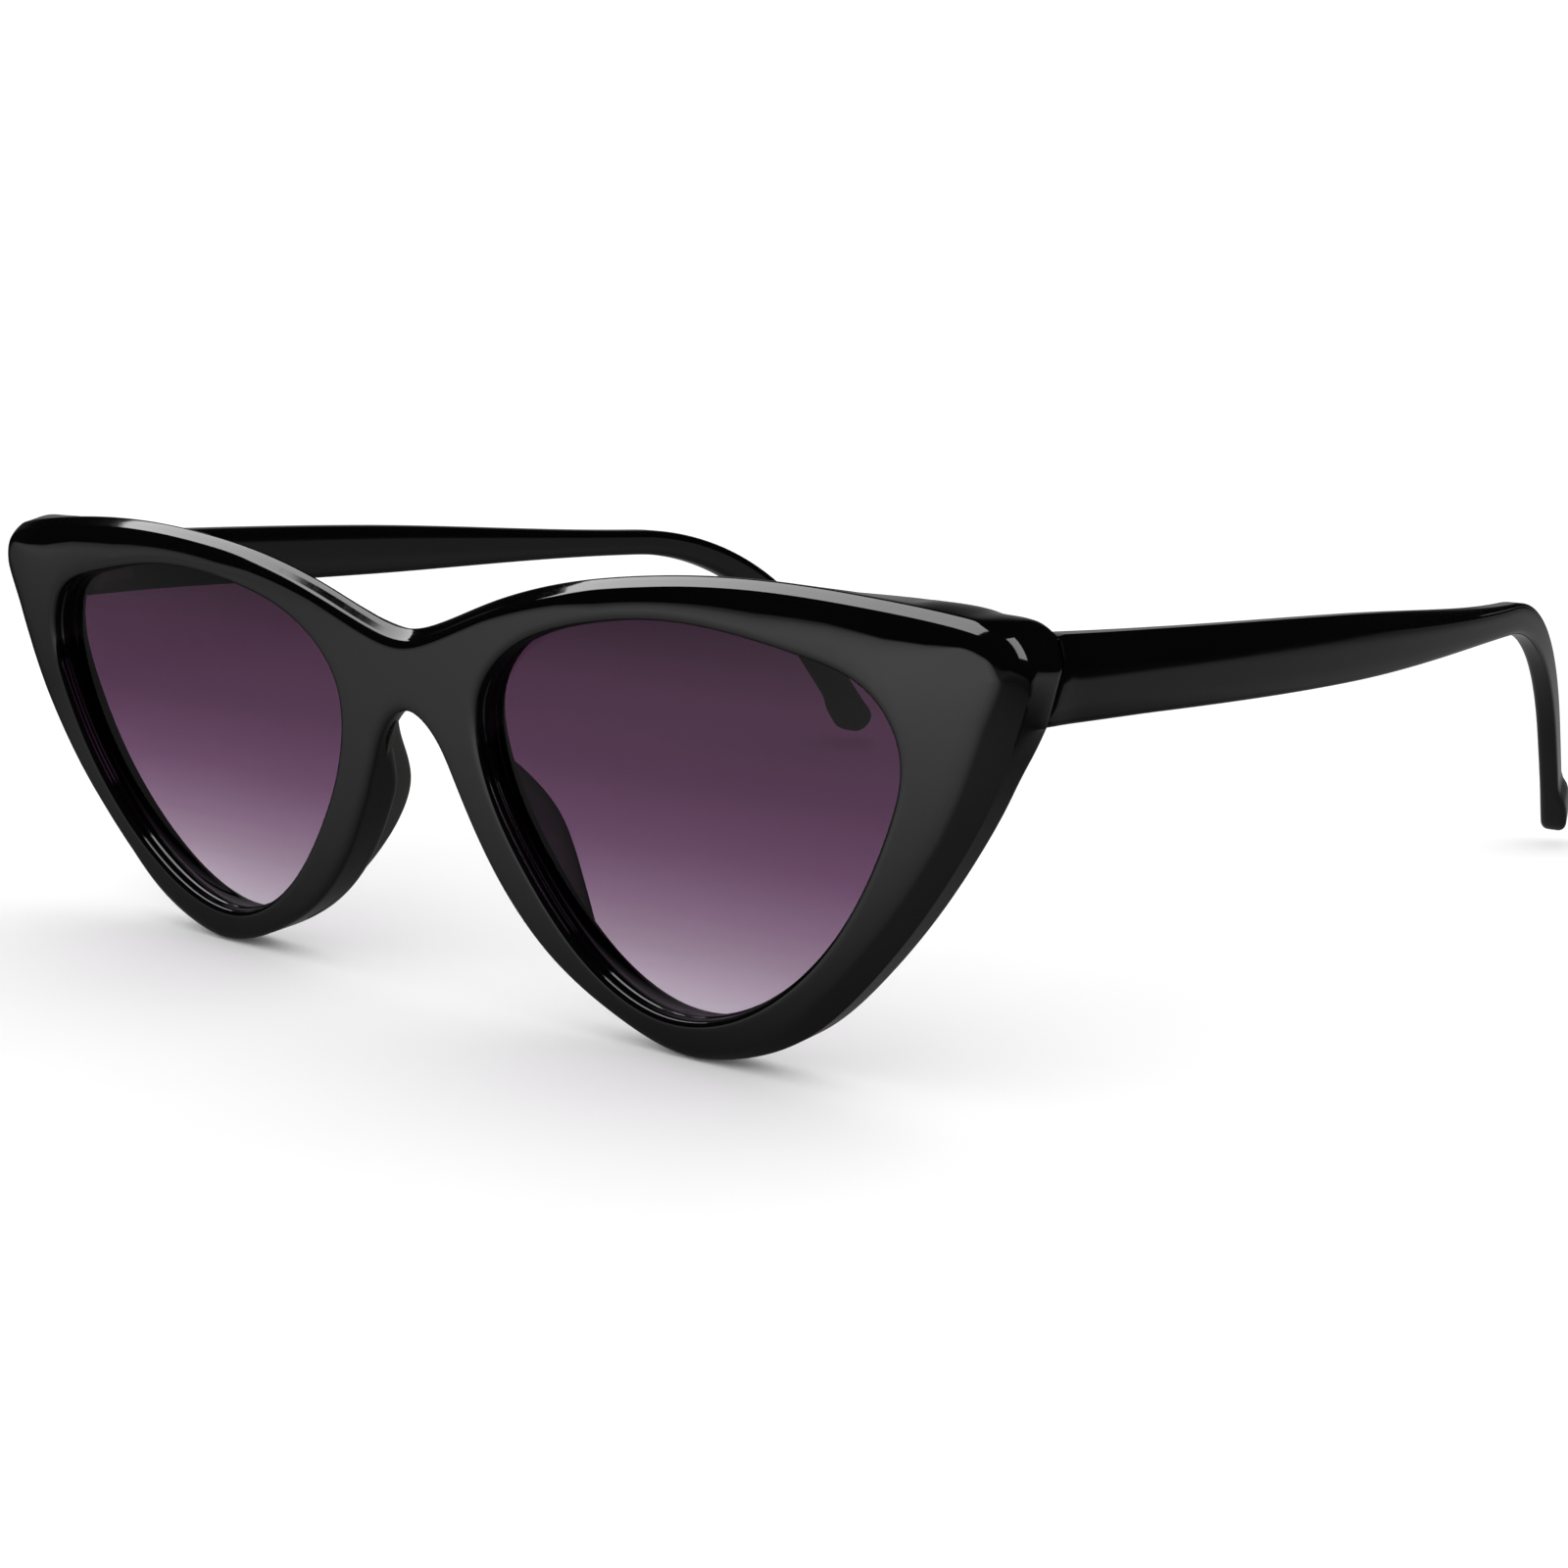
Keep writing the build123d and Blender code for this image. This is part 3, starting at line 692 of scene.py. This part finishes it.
# ---- front frame ----
def face_rows(outline, outward, on_brow, on_nose, room):
    """Rows of points that round the face over into the outer wall."""
    from_middle, _, widths = np.array(BROW_SHAPE).T
    bevel_width = np.interp(np.abs(outline[:, 0]), from_middle, widths)
    side_width = np.interp(outline[:, 1], *np.array(SIDE_SHAPE).T)
    at_tip = zone("tip", outline)
    widest = None
    for brow, side, nose, tip in zip(*FACE_ROWS.values()):
        brow_inset = brow[0] + max(brow[0] - STRIP, 0) * (bevel_width - 1)
        inset = mix(mix(side[0] * side_width, nose[0], on_nose), brow_inset, on_brow)
        inset = mix(inset, tip[0], at_tip)
        behind = mix(mix(side[1], nose[1], on_nose), brow[1], on_brow)
        behind = mix(behind, tip[1], at_tip)
        if widest is None:
            widest = inset
        squeeze = np.clip((room - STRIP) / (widest - STRIP), 0, 1)
        inset = np.minimum(inset, STRIP) + np.maximum(inset - STRIP, 0) * squeeze
        yield place(outline - outward * inset[:, None], behind)


def wall_rows(outline, outward, on_brow, on_nose, room, face_edge):
    """Rows of points from the face's edge back to the rim's and the endpiece's back surface."""
    from_middle, drops, _ = np.array(BROW_SHAPE).T
    brow_drop = np.interp(np.abs(outline[:, 0]), from_middle, drops) * on_brow
    brow_drop = np.minimum(brow_drop, np.maximum(room - BACK_MARGIN, 0))
    arch = on_nose * smoothstep(*ARCH_HEIGHTS, outline[:, 1])
    radius = mix(BACK_ROUND, CHEEK_ROUND, (1 - on_brow) * (1 - zone("corner", outline)))
    radius = mix(radius, ARCH_ROUND, arch)
    edge_depth = radius * mix(ROUND_DEPTH, ARCH_ROUND_DEPTH, arch)

    rim_depth = rim_behind(outline) - edge_depth - ARCH_CUT * arch
    rim_edge = place(outline - outward * brow_drop[:, None], rim_depth)
    seam_edge = endpiece_edge(outline)
    seam_edge[:, 1] -= edge_depth
    back_edge = mix(rim_edge, seam_edge, zone("seam", outline)[:, None])
    crown = CROWN * zone("crown", outline)
    for step in range(1, WALL_ROWS + 1):
        wall = mix(face_edge, back_edge, step / WALL_ROWS)
        wall[:, 2] += crown * math.sin(math.pi * step / WALL_ROWS)
        yield wall

    inwards = -np.column_stack([outward[:, 0], -outward[:, 1] * math.sin(LEAN),
                                outward[:, 1] * math.cos(LEAN)])
    for angle in np.radians(ROUND_ANGLES):
        rounded = back_edge + inwards * (radius * (1 - math.cos(angle)))[:, None]
        rounded[:, 1] += edge_depth * math.sin(angle)
        yield rounded


def outer_rows():
    """All rows of the front's outer edge, from the face to the back."""
    half_outline = BROW + [TIP] + CHEEK + NOSE + [ARCH_TOP]
    other_half = [(-x, height) for x, height in half_outline[-2:0:-1]]
    outline = spline(half_outline + other_half, OUTLINE_STEP, closed=True)
    outward = outward_normals(outline)
    on_brow = smoothstep(*TOP_FACING, outward[:, 1])
    on_nose = ((np.abs(outline[:, 0]) < NOSE_REACH) & (outward[:, 1] < TOP_FACING[0])).astype(float)
    on_nose = np.r_[on_nose[-NOSE_BLEND:], on_nose, on_nose[:NOSE_BLEND]]
    on_nose = np.convolve(on_nose, np.ones(2 * NOSE_BLEND + 1) / (2 * NOSE_BLEND + 1), "valid")
    both_openings = np.vstack([opening, opening * (-1, 1)])
    room = distance_to(both_openings, outline) - EDGE_MARGIN
    rows = list(face_rows(outline, outward, on_brow, on_nose, room))
    rows += wall_rows(outline, outward, on_brow, on_nose, room, rows[-1])
    return rows


def opening_rows(shell, side):
    """The wall of one lens opening. Returns its first and last rows, as outlines and as indices."""
    ring_rows = []
    for out, behind in OPENING_ROWS:
        flat = (opening + opening_out * out) * (side, 1)
        ring_rows.append((flat, shell.add(place(flat, behind))))
    for (_, one), (_, other) in zip(ring_rows, ring_rows[1:]):
        shell.strip(one, other)
    return ring_rows[0], ring_rows[-1]


def back_points(outer, holes):
    """Inner points of the back, close together where the endpiece stands out from the rim."""
    spacing, margin = BLOCK_FILL
    coarse = between(outer, holes, BACK_FILL)
    at_block = (np.abs(coarse[:, 0]) > BACK_FILL_UNTIL[0]) & (coarse[:, 1] > BACK_FILL_UNTIL[1])
    fine = grid((-BLOCK_FILL_TO[0], BLOCK_FILL_FROM[1]), BLOCK_FILL_TO, spacing)
    fine = fine[(np.abs(fine[:, 0]) > BLOCK_FILL_FROM[0]) & inside(outer, fine)]
    fine = fine[distance_to(outer, fine) > margin]
    return np.vstack([coarse[~at_block], fine])


def build_front():
    """Rims, bridge and endpieces as one closed shell."""
    front = Shell()
    rows = outer_rows()
    placed = [front.add(points) for points in rows]
    for one, other in zip(placed, placed[1:]):
        front.strip(one, other)
    face_holes, back_holes = zip(*[opening_rows(front, side) for side in (1, -1)])

    outer = flatten(rows[0])
    loops = [flat for flat, _ in face_holes]
    front.fill(placed[0], [row for _, row in face_holes], np.vstack([outer] + loops),
               between(outer, loops, FACE_FILL), lambda flat: place(flat, 0.0))

    outer = flatten(rows[-1])
    loops = [flat for flat, _ in back_holes]
    front.fill(placed[-1], [row for _, row in back_holes], np.vstack([outer] + loops),
               back_points(outer, loops), lambda flat: place(flat, back_behind(flat)))
    return front.build("front_frame_shell", frame_plastic, FRONT_CREASE)


# ---- lenses ----
def lens_behind(flat, side):
    """Depth of the lens's front face: a gentle crown that falls to the groove at the edge."""
    span = np.ptp(lens_edge, axis=0) / 2
    offset = (flat * (side, 1) - lens_edge.mean(0)) / span
    fall = np.clip((offset**2).sum(1), 0, 1)
    return LENS_RECESS - LENS_CROWN * (1 - fall)


def build_lens(side, name):
    """One lens, with its rim hidden in the groove."""
    lens = Shell()
    edge = lens_edge * (side, 1)
    inner = between(edge, [], LENS_FILL)
    front_edge = lens.add(place(edge, lens_behind(edge, side)))
    back_edge = lens.add(place(edge, lens_behind(edge, side) + LENS_THICKNESS))
    lens.strip(front_edge, back_edge)
    lens.fill(front_edge, [], edge, inner, lambda flat: place(flat, lens_behind(flat, side)))
    lens.fill(back_edge, [], edge, inner,
              lambda flat: place(flat, lens_behind(flat, side) + LENS_THICKNESS))
    return lens.build(f"{name}_lens_tinted", lens_plastic, LENS_CREASE)


# ---- nose pads ----
def build_pad(side, name):
    """One nose pad: a blade that grows out of the rim's nose side and flares towards the nose."""
    edge = spline(NOSE, PAD_STEP)
    lowest, highest = PAD_SIDE[0][0], PAD_SIDE[-1][0]
    edge = edge[(edge[:, 1] > lowest) & (edge[:, 1] < highest) & (edge[:, 0] < PAD_WIDEST)]
    tangent = np.gradient(edge, axis=0)
    tangent /= np.linalg.norm(tangent, axis=1)[:, None]
    into_rim = np.column_stack([tangent[:, 1], -tangent[:, 0]])
    reach = np.interp(edge[:, 1], *spline(PAD_SIDE, PAD_SIDE_STEP).T)
    start = mix(PAD_START, PAD_BRIDGE_START, smoothstep(*PAD_BRIDGE, edge[:, 1]))
    start = np.minimum(start, reach - PAD_LEAST)

    pad = Shell()
    pad_rows = []
    shares = np.linspace(0, 1, PAD_STEPS)
    for face, share in [(-1, share) for share in shares] + [(1, share) for share in shares[-2::-1]]:
        depth = mix(start, reach, math.sin(share * math.pi / 2))
        half_thick = mix(PAD_BASE, PAD_EDGE, share) * math.sqrt(1 - share**6) / 2
        offset = PAD_BASE / 2 + (depth - start) * math.tan(PAD_FLARE) + face * half_thick
        flat = edge + into_rim * offset[:, None]
        pad_rows.append(pad.add(place(flat * (side, 1), depth)))
    for one, other in zip(pad_rows, pad_rows[1:] + pad_rows[:1]):
        pad.strip(one, other, closed=False)
    pad.faces.append(tuple(row[0] for row in pad_rows))
    pad.faces.append(tuple(row[-1] for row in pad_rows))
    return pad.build(f"{name}_nose_pad_moulded", pad_plastic, PAD_CREASE)


# ---- temples ----
arm_start = np.array([pin.y + SEAM_GAP, pin.z])
bend_start = arm_start + ARM_LENGTH * np.array([math.cos(ARM_DROP), -math.sin(ARM_DROP)])
bend_centre = bend_start - BEND_RADIUS * np.array([math.sin(ARM_DROP), math.cos(ARM_DROP)])
bend_length = BEND_RADIUS * (HOOK_ANGLE - ARM_DROP)
bend_end = ARM_LENGTH + bend_length
bow_centre = np.array([SIDE_OUTER - ARM_BOW_RADIUS * math.cos(ARM_FLARE),
                       arm_start[0] + ARM_BOW_RADIUS * math.sin(ARM_FLARE)])
total = bend_end + HOOK_LENGTH + TIP_HALF
tip_from = total - TIP_HALF

# (length along the temple, value)
HALF_HEIGHTS = [(0, ARM_HALF), (ARM_LENGTH / 2, ARM_MIDDLE_HALF), (ARM_LENGTH, ARM_BEND_HALF),
                (ARM_LENGTH + bend_length / 2, BEND_MIDDLE_HALF), (bend_end, HOOK_HALF),
                (total - BULB_LENGTH, HOOK_HALF), (tip_from, TIP_HALF)]
THICKNESSES = [(0, ARM_THICK), (10, 3.7), (40, 3.1), (ARM_LENGTH, 2.6), (total - 12, 2.5), (total, 2.5)]
CHAMFERS = [(0, CHAMFER), (30, 2.0), (60, 1.4), (ARM_LENGTH, 0.5), (total, 0.5)]


def table_value(table, along):
    """A value read from a table of (length, value) pairs, eased between them."""
    lengths, values = np.array(table, float).T
    i = int(np.clip(np.searchsorted(lengths, along) - 1, 0, len(lengths) - 2))
    slopes = np.gradient(values, lengths)
    gap = lengths[i + 1] - lengths[i]
    share = min(max((along - lengths[i]) / gap, 0), 1)
    return hermite(share, gap, values[i], values[i + 1], slopes[i], slopes[i + 1])


def arm_centre(along):
    """Point (Y, Z) of the temple's middle line and its angle below level, at a length along it."""
    if along < ARM_LENGTH:
        return mix(arm_start, bend_start, along / ARM_LENGTH), ARM_DROP
    if along < bend_end:
        angle = ARM_DROP + (along - ARM_LENGTH) / BEND_RADIUS
        return bend_centre + BEND_RADIUS * np.array([math.sin(angle), math.cos(angle)]), angle
    hook_start = bend_centre + BEND_RADIUS * np.array([math.sin(HOOK_ANGLE), math.cos(HOOK_ANGLE)])
    down_hook = np.array([math.cos(HOOK_ANGLE), -math.sin(HOOK_ANGLE)])
    return hook_start + (along - bend_end) * down_hook, HOOK_ANGLE


def arm_outer(y):
    """X of the temple's outer face, which flares out and then bows in towards the head."""
    y = max(y, arm_start[0])
    return bow_centre[0] + math.sqrt(ARM_BOW_RADIUS**2 - (y - bow_centre[1])**2)


def quarter(inset, up, radius, start):
    """Points of a quarter circle round a centre, from an angle clockwise from straight up."""
    angles = [math.radians(start + step) for step in range(0, 91, SECTION_TURN)]
    return [(inset + radius * math.sin(angle), up + radius * math.cos(angle)) for angle in angles]


def arm_section(half, thick, chamfer):
    """Section of the temple: (distance in from the outer face, height), round its outline.

    Shares of the section's height and thickness place the points along its flat sides, and keep
    the sloping strip and the rounded edges small where the temple is slim.
    """
    inset = min(CHAMFER_INSET * chamfer / CHAMFER, thick * 0.45)
    crease = half - chamfer
    round_low = min(LOW_ROUND, half * 0.35)
    round_in = min(INNER_ROUND, thick * 0.3)
    points = [(foot_inset, crease + up) for foot_inset, up in CHAMFER_FOOT]
    for share in CHAMFER_SHARES:
        bulge = CHAMFER_BULGE * inset * math.sin(share * math.pi)
        points.append((inset * share - bulge, crease + chamfer * share + bulge / 2))
    points += [(inset, half), (mix(inset, thick, 0.45), half)]
    points += quarter(thick - round_in, half - round_in, round_in, 0)
    points += [(thick, half * 0.4), (thick, -half * 0.2)]
    points += quarter(thick - round_in, round_in - half, round_in, 90)
    points.append((mix(round_low, thick - round_in, 0.5), -half))
    points += quarter(round_low, round_low - half, round_low, 180)
    points += [(0.0, mix(-half, crease, 0.35)), (0.0, mix(-half, crease, 0.7))]
    return np.array(points) + (ARM_INSET, 0)


def shaped_section(along):
    """The section at a length along the temple, with the rounded end, the bulb and the tip."""
    half = table_value(HALF_HEIGHTS, min(along, tip_from))
    thick = table_value(THICKNESSES, along)
    section = arm_section(half, thick, table_value(CHAMFERS, along))
    middle = np.array([thick / 2, 0])

    in_bulb = np.clip((along - total + BULB_LENGTH) / BULB_LENGTH, 0, 1)
    swell = BULB_SWELL * math.sqrt(math.sin(math.pi * in_bulb))
    section[:, 0] -= swell * (1 - section[:, 0] / thick)
    if along < END_ROUND_LENGTH:
        pull = END_ROUND * (1 - along / END_ROUND_LENGTH)
        section = mix(section, middle, pull / half)
    if along > tip_from:
        close = math.sqrt(1 - ((along - tip_from) / TIP_HALF)**2)
        section = middle + (section - middle) * (mix(1, close, 0.75), close)
    return section


def arm_rows():
    """The temple's sections in space, from the seam to the tip."""
    stations = END_STATIONS + list(np.arange(FIRST_STATION, tip_from, STATION_STEP))
    stations += [total - TIP_HALF * (1 - math.sin(math.radians(a))) for a in range(0, 90, TIP_TURN)]
    for along in stations:
        section = shaped_section(along)
        centre, angle = arm_centre(along)
        y = centre[0] + section[:, 1] * math.sin(angle)
        z = centre[1] + section[:, 1] * math.cos(angle)
        y += (seam_y(z) - pin.y) * (1 - smoothstep(0, SEAM_FADE, along))
        x = np.array([arm_outer(value) for value in y]) - section[:, 0]
        yield np.column_stack([x, y, z])


def build_temple(side, name):
    """Arm, bend and tip as one closed shell."""
    arm = Shell()
    rows = [arm.add(points * (side, 1, 1)) for points in arm_rows()]
    for one, other in zip(rows, rows[1:]):
        arm.strip(one, other)
    arm.faces.append(tuple(rows[0]))
    arm.faces.append(tuple(rows[-1]))
    return arm.build(f"{name}_temple_arm", frame_plastic, ARM_CREASE)


# ---- the pieces ----
opening = spline(OPENING, OUTLINE_STEP, closed=True)
opening_out = outward_normals(opening)
lens_edge = opening + opening_out * LENS_BITE

frame_plastic = polished_plastic()
pad_plastic = satin_plastic()
nickel_silver = nickel()
screw_steel = turned_steel()
lens_plastic = tinted_lens(FACE_Z, FACE_Z + max(height for _, height in OPENING))

front_piece = build_front()
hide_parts("front_frame")
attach(front_piece, "front")

for side, name in ((1, "left"), (-1, "right")):
    piece = build_lens(side, name)
    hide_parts(f"{name}_lens")
    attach(piece, "front")

for side, name in ((1, "left"), (-1, "right")):
    piece = build_pad(side, name)
    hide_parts(f"{name}_nose_pad")
    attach(piece, "front")

for side, name, body in ((1, "left", "left_arm"), (-1, "right", "right_arm")):
    piece = build_temple(side, name)
    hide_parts(f"{name}_temple")
    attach(piece, body)

# The hinges and screws keep their CAD shapes.
for name, node in frame["nodes"].items():
    if name.endswith("hinge"):
        node.data.materials.clear()
        node.data.materials.append(nickel_silver)
    elif name.endswith("screw"):
        node.data.materials.clear()
        node.data.materials.append(screw_steel)


# ---- floor, lights and camera ----
def flat_card(name, half_size, height, material):
    """Level square under the object."""
    mesh = bpy.data.meshes.new(name)
    corners = [(half_size * x, half_size * y, 0) for x, y in ((-1, -1), (1, -1), (1, 1), (-1, 1))]
    mesh.from_pydata(corners, [], [(0, 1, 2, 3)])
    mesh.materials.append(material)
    card = bpy.data.objects.new(name, mesh)
    card.location.z = height
    bpy.context.scene.collection.objects.link(card)
    return card


def soft_light(name, direction, long_way, size, radiance):
    """Soft box that faces the glasses and shows only in the gloss, with its long side along long_way."""
    data = bpy.data.lights.new(name, "AREA")
    data.shape = "RECTANGLE"
    data.size, data.size_y = size
    data.energy = math.pi * size[0] * size[1] * radiance
    back = Vector(direction).normalized()
    short = back.cross(Vector(long_way)).normalized()
    turned = Matrix((short.cross(back), short, back)).transposed().to_4x4()
    lamp = bpy.data.objects.new(name, data)
    lamp.matrix_world = Matrix.Translation(BROW_AT + back * SOFTBOX_DISTANCE) @ turned
    lamp.visible_camera = False
    lamp.visible_diffuse = False
    bpy.context.scene.collection.objects.link(lamp)


def studio_world():
    """White room that lights everything, which the gloss sees as dark with one pale wall."""
    world = bpy.data.worlds.new("studio")
    world.use_nodes = True
    nodes = world.node_tree.nodes
    links = world.node_tree.links
    nodes.clear()
    room = nodes.new("ShaderNodeBackground")
    room.inputs["Color"].default_value = (1, 1, 1, 1)
    room.inputs["Strength"].default_value = ROOM_LIGHT
    dark = nodes.new("ShaderNodeBackground")
    dark.inputs["Color"].default_value = (1, 1, 1, 1)
    facing = nodes.new("ShaderNodeVectorMath")
    facing.operation = "DOT_PRODUCT"
    links.new(nodes.new("ShaderNodeTexCoord").outputs["Generated"], facing.inputs[0])
    facing.inputs[1].default_value = Vector(WALL_DIRECTION).normalized()
    wall = nodes.new("ShaderNodeMapRange")
    wall.interpolation_type = "SMOOTHSTEP"
    wall.inputs["From Min"].default_value = math.cos(WALL_SPREAD)
    wall.inputs["From Max"].default_value = 1.0
    wall.inputs["To Min"].default_value = GLOSS_DARK
    wall.inputs["To Max"].default_value = GLOSS_WALL
    links.new(facing.outputs["Value"], wall.inputs["Value"])
    links.new(wall.outputs[0], dark.inputs["Strength"])
    chosen = nodes.new("ShaderNodeMixShader")
    links.new(nodes.new("ShaderNodeLightPath").outputs["Is Glossy Ray"], chosen.inputs[0])
    links.new(room.outputs[0], chosen.inputs[1])
    links.new(dark.outputs[0], chosen.inputs[2])
    links.new(chosen.outputs[0], nodes.new("ShaderNodeOutputWorld").inputs[0])
    return world


def place_camera():
    """Camera from the wearer's left front, a little above the glasses."""
    data = bpy.data.cameras.new("camera")
    data.sensor_width = CAMERA_SENSOR
    data.lens = CAMERA_LENS
    data.clip_start, data.clip_end = CAMERA_RANGE
    camera = bpy.data.objects.new("camera", data)
    aim = (CAMERA_AIM - CAMERA_AT).to_track_quat("-Z", "Y").to_matrix().to_4x4()
    camera.matrix_world = Matrix.Translation(CAMERA_AT) @ aim @ Matrix.Rotation(CAMERA_ROLL, 4, "Z")
    bpy.context.scene.collection.objects.link(camera)
    bpy.context.scene.camera = camera


floor = flat_card("floor", FLOOR_HALF, cad_box[0].z - FLOOR_DROP, table_top())
floor.visible_glossy = False
glow_card = flat_card("table_reflection", GLOW_HALF, cad_box[0].z - GLOW_DROP, table_glow())
glow_card.visible_camera = False
glow_card.visible_diffuse = False
glow_card.visible_transmission = False
glow_card.visible_shadow = False
for name, softbox in SOFTBOXES.items():
    soft_light(name, *softbox)
bpy.context.scene.world = studio_world()
bpy.context.scene.view_settings.view_transform = "Standard"
place_camera()
